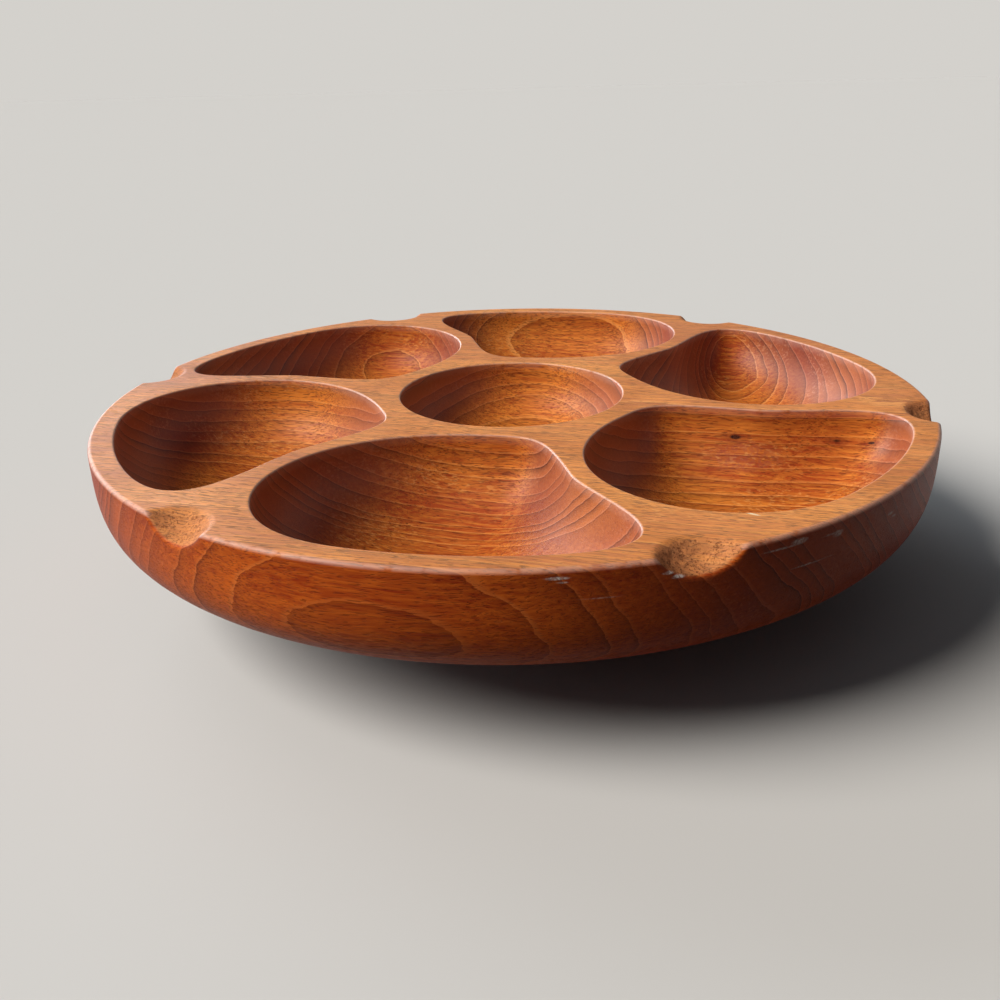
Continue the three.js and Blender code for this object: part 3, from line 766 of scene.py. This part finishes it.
def carveBowl(s):
    low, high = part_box("bowl")
    rim = (high.x - low.x) / 2 / mm
    height = (high.z - low.z) / mm
    sector = 360 / s["hollows"]
    lift = Matrix.Translation((0, 0, high.z))
    turned = lambda flat, degrees: flat @ np.array([polar(1, degrees), polar(1, degrees + 90)])
    # one hollow and its share of the centre hollow, to be repeated
    hollow = Patch(*bowlMarks)
    outline = turned(hollowOutline(s, rim, s["outlinePoints"]), s["firstHollow"] - 90)
    middle = (rim - s["rimWidth"] + s["centreRadius"] + s["hubWall"]) / 2
    deepest = polar(middle, s["firstHollow"] + s["deepest"])
    sinkHollow(hollow, s, deepest, s["depth"], True, lambda amount: pushedIn(outline, amount))

    def hubRing(radius, share):
        return np.array([polar(radius, a) for a in np.linspace(0, 360 * share, round(180 * share) + 1)])

    sinkHollow(hollow, s, np.zeros(2), s["centreDepth"], False,
               lambda amount: hubRing(s["centreRadius"] - amount, 1 / s["hollows"]))
    # rim, outside and the flat top between the hollows
    shell = Patch(*bowlMarks)
    first = s["firstHollow"] + s["notchAngle"]
    notches = [first + sector * i + drift for i, drift in enumerate(s["notchDrifts"])]
    loop = rimShell(shell, s, rim, height, notches)
    holes = [shell.row(hubRing(s["centreRadius"] + s["strip"], 1)[:-1], 0.0)]
    for i in range(s["hollows"]):
        holes.append(shell.row(turned(pushedIn(outline, -s["strip"]), sector * i), 0.0))
    shell.web(loop, holes)
    body = shell.made("bowl_shell", lift)
    bowl = hollow.made("bowl_carved", lift)
    repeatRound(bowl, s["hollows"], bowlTeak, seam=0.02, Body=body)
    bpy.data.objects.remove(body)
    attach(bowl, "turntable")
    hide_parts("bowl")
    print("stage: bowl carved,", len(bowl.data.polygons), "faces")


carveBowl(bowlSet)


# base

baseSet = {
    "columns": 128, "topRound": 6.0, "bottomRound": 2.0, "flatStrip": 3.0,
    "hole": 7.0, "holePlace": 60.81, "holeEdge": 0.7, "holeColumns": 40,
    "turn": 62.0, "heart": (0, 35, -190), "spacing": 7.0, "toolPitch": 1.6, "toolDepth": 0.12,
    "wornEdgeAndHighlight": (0.3, shade(214, 150, 100)), "roundRows": (9, 15),
}


def makeBaseWood(s):
    look, tree = newLook("baseTeak")
    place = inMillimetres(tree, s["turn"], s["heart"])
    grain = effect(tree, teakGrain, {"Place": place, "Ring Spacing": s["spacing"]})
    # faint rings left by the turning tool
    cut = parts(tree, inMillimetres(tree))
    tool = calc(tree, "SINE", times(tree, hypotenuse(tree, cut[0], cut[1]), 2 * pi / s["toolPitch"]))
    colour = tinted(tree, grain["Colour"], markOf(tree, "edgeWear"), *s["wornEdgeAndHighlight"])
    bump = bumpFrom(tree, timesAdd(tree, tool, s["toolDepth"], grain["Height"]), strength=0.5, depth=0.22)
    finishLook(tree, {
        "Base Color": colour, "Roughness": grain["Roughness"], "Normal": bump, "Specular IOR Level": 0.45})
    return look


def turnBase(s):
    low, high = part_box("base")
    radius, bottom, top = (high.x - low.x) / 2 / mm, low.z / mm, high.z / mm
    patch = Patch("edgeWear")
    axis, holeAt = np.zeros(2), np.array([0.0, s["holePlace"]])
    profile = [(radius - s["bottomRound"] - s["flatStrip"], bottom, 0.0)]
    bottomRows, topRows = s["roundRows"]
    for angle in np.linspace(0, pi / 2, bottomRows):
        inward, up = s["bottomRound"] * (1 - sin(angle)), s["bottomRound"] * (1 - cos(angle))
        profile.append((radius - inward, bottom + up, sin(2 * angle)))
    for angle in np.linspace(0, pi / 2, topRows):
        inward, down = s["topRound"] * (1 - cos(angle)), s["topRound"] * (1 - sin(angle))
        profile.append((radius - inward, top - down, 0.5 * sin(2 * angle)))
    profile.append((radius - s["topRound"] - s["flatStrip"], top, 0.0))
    rows = [patch.row(circlePoints(axis, r, s["columns"]), z, edgeWear=wearAndHighlight) for r, z, wearAndHighlight in profile]
    patch.strips(rows)
    soft = s["holeEdge"]
    wall = [(soft + 0.8, 0, 0.0), (soft, 0, 0.4), (0.29 * soft, 0.29 * soft, 1.0), (0, soft, 0.4)]
    levels = [(s["hole"] + out, bottom + up, wearAndHighlight) for out, up, wearAndHighlight in wall]
    levels += [(s["hole"] + out, top - up, wearAndHighlight) for out, up, wearAndHighlight in wall[::-1]]
    bore = [patch.row(circlePoints(holeAt, r, s["holeColumns"]), z, edgeWear=wearAndHighlight) for r, z, wearAndHighlight in levels]
    patch.strips(bore)
    patch.web(rows[0], [bore[0]])
    patch.web(rows[-1], [bore[-1]])
    base = patch.made("base_turned")
    repeatRound(base, 1, makeBaseWood(s), seam=0.001)
    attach(base, "stand")
    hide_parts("base")
    print("stage: base turned,", len(base.data.polygons), "faces")


turnBase(baseSet)


# bearing

bearingSet = {
    "side": 102.0, "corner": 10.0, "sheet": 1.0, "edge": 0.14, "bend": 1.1,
    "screwAt": 43.0, "screwHole": 2.05,
    "flatFrom": 48.6, "slopeFoot": 46.5, "land": (45.0, 2.1), "landWidth": 2.2,
    "pitch": 36.0, "middle": 4.0, "groove": 3.2, "innerLand": 3.4,
    "collar": 27.5, "lip": (31.0, 7.25), "upperEnd": 28.6,
    "cageWidth": 4.7, "cageThick": 1.0, "cageEdge": 0.12, "pocket": 2.7, "ball": 2.4, "balls": 16,
    "columns": 28, "grooveRows": 15, "flatPoints": 6, "cornerPoints": 11, "holeColumns": 24,
    "cageColumns": 13, "pocketColumns": 28, "ballRows": 14, "ballColumns": 24,
    "plate": {"Tint": shade(196, 198, 202), "Crystal": 0.16, "Polish": 0.26, "Grease": 0.35},
    "cage": {"Tint": shade(150, 148, 142), "Crystal": 0.05, "Polish": 0.34, "Grease": 0.6},
    "ballSkin": {"Tint": shade(222, 224, 228), "Crystal": 0.0, "Polish": 0.06, "Grease": 0.25},
}


def makeMetal(name, values, bumpDepth):
    look, tree = newLook(name)
    skin = effect(tree, metalSkin, {"Place": inMillimetres(tree), **values})
    bump = bumpFrom(tree, skin["Height"], strength=0.3, depth=bumpDepth)
    finishLook(tree, {
        "Base Color": skin["Colour"], "Roughness": skin["Roughness"], "Normal": bump, "Metallic": 1.0})
    return look


def bentLine(corners, bend, steps=6):  # a line whose corners are rounded
    corners = [np.array(corner) for corner in corners]
    line = [corners[0]]
    for before, corner, after in zip(corners, corners[1:], corners[2:]):
        ends = []
        for way in (before - corner, after - corner):
            length = np.hypot(*way)
            ends.append(corner + way / length * min(bend, 0.45 * length))
        for t in np.linspace(0, 1, steps):
            line.append((1 - t) ** 2 * ends[0] + 2 * t * (1 - t) * corner + t * t * ends[1])
    return np.array([*line, corners[-1]])


def sheetSides(line, sheet):
    ahead = np.gradient(line, axis=0)
    ahead /= np.hypot(ahead[:, 0], ahead[:, 1])[:, None]
    across = np.stack([ahead[:, 1], -ahead[:, 0]], 1) * sheet / 2
    return line + across, line - across


def pressPlate(s, name, node, body, level, flip, firstAngle, inner, finish):
    half, edge, sheet = s["side"] / 2, s["edge"], s["sheet"]
    landAt, landUp = s["land"]
    # the section from the flat edge over the land and through the ball groove, then its two faces
    outside = [(s["flatFrom"], sheet / 2), (s["slopeFoot"], sheet / 2)]
    outside += [s["land"], (landAt - s["landWidth"], landUp)]
    inside = [(s["pitch"] - s["innerLand"], landUp), *inner]
    opening = acos((s["middle"] - landUp) / s["groove"])
    groove = [(s["pitch"] + s["groove"] * sin(a), s["middle"] - s["groove"] * cos(a))
              for a in np.linspace(opening, -opening, s["grooveRows"])]
    section = np.concatenate([bentLine(outside, s["bend"]), groove, bentLine(inside, s["bend"] + 0.5)])
    faces = sorted(sheetSides(section, sheet), key=lambda face: -face[0][1])
    patch = Patch()
    quarter = np.linspace(0, 90, s["columns"])
    upper, lower = ([[patch.add((*polar(r, a), z)) for a in quarter] for r, z in face] for face in faces)
    patch.strips(upper, False)
    patch.strips(lower, False)
    patch.strip(upper[-1], lower[-1], False)

    def border(inset, z):
        flat, r = half - inset, s["corner"] - inset
        run = half - s["corner"]
        points = [np.array([flat, y]) for y in np.linspace(0, run, s["flatPoints"])[:-1]]
        points += [np.array([run, run]) + polar(r, a) for a in np.linspace(0, 90, s["cornerPoints"])]
        points += [np.array([x, flat]) for x in np.linspace(run, 0, s["flatPoints"])[1:]]
        return patch.row(points, z)

    softEdge = ((edge, sheet), (0.3 * edge, sheet - 0.3 * edge), (0, sheet - edge), (0, edge), (edge, 0))
    rim = [border(inset, z) for inset, z in softEdge]
    patch.strips(rim, False)
    at = np.array([s["screwAt"]] * 2)
    bore = [patch.row(circlePoints(at, s["screwHole"] + out, s["holeColumns"]), z)
            for out, z in ((edge, sheet), (0, sheet - edge), (0, edge), (edge, 0))]
    patch.strips(bore)
    patch.web(rim[0] + upper[0][::-1], [bore[0]])
    patch.web(rim[-1] + lower[0][::-1], [bore[-1]])
    place = Matrix.Translation((0, 0, level * mm)) @ Matrix.Scale(-1 if flip else 1, 4, (0, 0, 1))
    plate = patch.made(name, place)
    repeatRound(plate, 4, finish, seam=0.005, Start=radians(firstAngle))
    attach(plate, body)
    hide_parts(node)
    print("stage:", name, "pressed,", len(plate.data.polygons), "faces")


def punchCage(s, finish):
    level = sum(c.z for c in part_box("ball_cage")) / 2 / mm
    patch = Patch()
    half, edge = s["cageThick"] / 2, s["cageEdge"]
    step = 360 / s["balls"]
    arc = np.linspace(-step / 2, step / 2, s["cageColumns"])
    inner, outer = s["pitch"] - s["cageWidth"], s["pitch"] + s["cageWidth"]
    levels = ((edge, half), (0, half - edge), (0, edge - half), (edge, -half))
    far = [patch.row([polar(outer - inset, a) for a in arc], level + z) for inset, z in levels]
    near = [patch.row([polar(inner + inset, a) for a in arc], level + z) for inset, z in levels]
    at = polar(s["pitch"], 0)
    pocket = [patch.row(circlePoints(at, s["pocket"] + inset, s["pocketColumns"]), level + z)
              for inset, z in levels]
    patch.strips(far, False)
    patch.strips(near, False)
    patch.strips(pocket)
    for k in (0, -1):
        patch.web(far[k] + near[k][::-1], [pocket[k]])
    cage = patch.made("ball_cage_punched")
    repeatRound(cage, s["balls"], finish, seam=0.002)
    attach(cage, "ball_ring")
    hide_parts("ball_cage")


def rollBalls(s, finish):
    level = sum(c.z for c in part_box("ball_01")) / 2 / mm
    patch = Patch()
    at, ball = polar(s["pitch"], 0), s["ball"]
    rows = []
    for k in range(1, s["ballRows"]):
        angle = pi * k / s["ballRows"]
        ring = circlePoints(at, ball * sin(angle), s["ballColumns"])
        rows.append(patch.row(ring, level + ball * cos(angle)))
    patch.strips(rows)
    patch.fan(rows[0], patch.add((*at, level + ball)))
    patch.fan(rows[-1], patch.add((*at, level - ball)))
    balls = patch.made("bearing_balls")
    repeatRound(balls, s["balls"], finish, seam=0.0)
    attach(balls, "ball_ring")
    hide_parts(*[f"ball_{i:02d}" for i in range(1, s["balls"] + 1)])
    print("stage: cage and balls made")


def buildBearing(s):
    steel = makeMetal("plateSteel", s["plate"], bumpDepth=0.03)
    landUp, lipUp = s["land"][1], s["lip"][1]
    lowerEnd = ((s["collar"], landUp), (s["collar"], lipUp), s["lip"])
    upperEnd = ((s["upperEnd"], landUp),)
    lowest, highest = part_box("lower_plate")[0].z / mm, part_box("upper_plate")[1].z / mm
    pressPlate(s, "lower_plate_pressed", "lower_plate", "stand", lowest, False, 0, lowerEnd, steel)
    pressPlate(s, "upper_plate_pressed", "upper_plate", "turntable", highest, True, 45, upperEnd, steel)
    punchCage(s, makeMetal("cageSteel", s["cage"], bumpDepth=0.02))
    rollBalls(s, makeMetal("ballSteel", s["ballSkin"], bumpDepth=0.004))


buildBearing(bearingSet)


# screws

screwSet = {
    "reach": 60.81, "shank": 1.75, "core": 1.3, "length": 10.0, "point": 2.5, "pitch": 1.6, "plain": 2.2,
    "runIn": 1.2, "columns": 20, "rings": 64, "head": 3.5, "headHeight": 2.0, "headRows": 9,
    "headSides": (12, 84), "headColumns": 17, "slotWidth": 0.9, "slotDepth": 0.9, "slotTurn": 0.4,
    "tip": 0.12, "ridgeSharp": 1.6, "count": 4,
    "skin": {"Tint": shade(204, 198, 182), "Crystal": 0.06, "Polish": 0.28, "Grease": 0.3},
}


def cutScrew(patch, s):
    # head: rows across the slot, each lowered to the floor of the slot where it lies inside it
    tall = lambda x, y: s["headHeight"] * sqrt(max(0.0, 1 - (x * x + y * y) / s["head"] ** 2))
    floor, half = s["headHeight"] - s["slotDepth"], s["slotWidth"] / 2
    sides = [s["head"] * sin(radians(a)) for a in np.linspace(*s["headSides"], s["headRows"])]
    across = [(-y, False) for y in [*sides[::-1], half]]
    across += [(-half, True), (0.0, True), (half, True)]
    across += [(y, False) for y in [half, *sides]]
    rows = []
    for y, low in across:
        row = []
        for a in np.linspace(-pi / 2, pi / 2, s["headColumns"]):
            x = sqrt(s["head"] ** 2 - y * y) * sin(a)
            row.append(patch.add((x, y, min(tall(x, y), floor) if low else tall(x, y))))
        rows.append(row)
    patch.strips(rows, False)
    rim = [r[-1] for r in rows] + rows[-1][::-1][1:] + [r[0] for r in rows[::-1]][1:] + rows[0][1:-1]
    # shank with a thread that fades out under the head and at the point
    columns = s["columns"]
    rings = []
    for z in np.linspace(0, -s["length"] + s["tip"], s["rings"]):
        left = min(1.0, (s["length"] + z) / s["point"])
        cut = min(1.0, max(0.0, (-z - s["plain"]) / s["runIn"]))
        ring = []
        for i in range(columns):
            turn = 2 * pi * i / columns
            ridge = abs(((z / s["pitch"] - i / columns) % 1.0) * 2 - 1) ** s["ridgeSharp"]
            radius = left * (s["shank"] - cut * (s["shank"] - s["core"]) * (1 - ridge))
            ring.append(patch.add((radius * cos(turn), radius * sin(turn), z)))
        rings.append(ring)
    patch.strips(rings)
    patch.fan(rings[-1], patch.add((0, 0, -s["length"])))
    patch.web(rim, [rings[0]])


def driveScrews(s, name, nodes, body, angle, flip, finish):
    low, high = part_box(nodes[0])
    seat = low.z / mm + s["headHeight"] if flip else high.z / mm - s["headHeight"]
    patch = Patch()
    cutScrew(patch, s)
    lift = Matrix.Translation(Vector((*polar(s["reach"], angle), seat)) * mm)
    tip = Matrix.Rotation(pi if flip else 0, 4, "X")
    screws = patch.made(name, lift @ tip @ Matrix.Rotation(s["slotTurn"], 4, "Z"))
    repeatRound(screws, s["count"], finish, seam=0.002)
    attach(screws, body)
    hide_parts(*nodes)


screwSteel = makeMetal("screwSteel", screwSet["skin"], bumpDepth=0.02)
for part, body, angle, flip in (("base", "stand", 45, False), ("bowl", "turntable", 0, True)):
    nodes = [f"{part}_screw_{i}" for i in range(1, screwSet["count"] + 1)]
    driveScrews(screwSet, part + "_screws", nodes, body, angle, flip, screwSteel)
print("stage: screws driven")


# felt feet

feltSet = {
    "radius": 11.0, "thick": 2.5, "soft": 0.7, "flatStrip": 2.0, "place": 72.0, "turn": 45, "count": 4,
    "columns": 72, "roundRows": 6, "fuzz": 0.14, "fuzzAround": 14, "fuzzUp": 2, "fuzzIn": 0.6,
}


def makeFelt():
    look, tree = newLook("feltCloth")
    nap = effect(tree, feltNap, {"Place": inMillimetres(tree)})
    bump = bumpFrom(tree, nap["Height"], strength=0.8, depth=0.3)
    finishLook(tree, {
        "Base Color": nap["Colour"], "Roughness": 0.95, "Normal": bump,
        "Specular IOR Level": 0.1, "Sheen Weight": 0.3})
    return look


def cutFeet(s):
    patch = Patch()
    at = polar(s["place"], s["turn"])
    outer, thick, soft = s["radius"], s["thick"], s["soft"]
    quarter = np.linspace(0, pi / 2, s["roundRows"])
    profile = [(outer - soft - s["flatStrip"], 0.0)]
    profile += [(outer - soft * (1 - sin(a)), soft * (1 - cos(a))) for a in quarter]
    profile += [(outer - soft * (1 - cos(a)), thick - soft * (1 - sin(a))) for a in quarter]
    profile.append((outer - soft - s["flatStrip"], thick))
    rows = []
    for k, (radius, level) in enumerate(profile):
        row = []
        for p in circlePoints(np.zeros(2), 1.0, s["columns"]):
            loose = 0.0
            if 1 < k < len(profile) - 2:
                spot = Vector((*(p * s["fuzzAround"]), level * s["fuzzUp"]))
                loose = s["fuzz"] * (noise.noise(spot) - s["fuzzIn"])
            row.append(patch.add((*(at + p * (radius + loose)), level)))
        rows.append(row)
    patch.strips(rows)
    patch.fan(rows[0], patch.add((*at, 0.0)))
    patch.fan(rows[-1], patch.add((*at, thick)))
    feet = patch.made("felt_feet")
    repeatRound(feet, s["count"], makeFelt(), seam=0.001)
    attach(feet, "stand")
    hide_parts(*[f"felt_foot_{i}" for i in range(1, 5)])
    print("stage: felt feet cut")


cutFeet(feltSet)


# end

print("stage: all pieces are built")
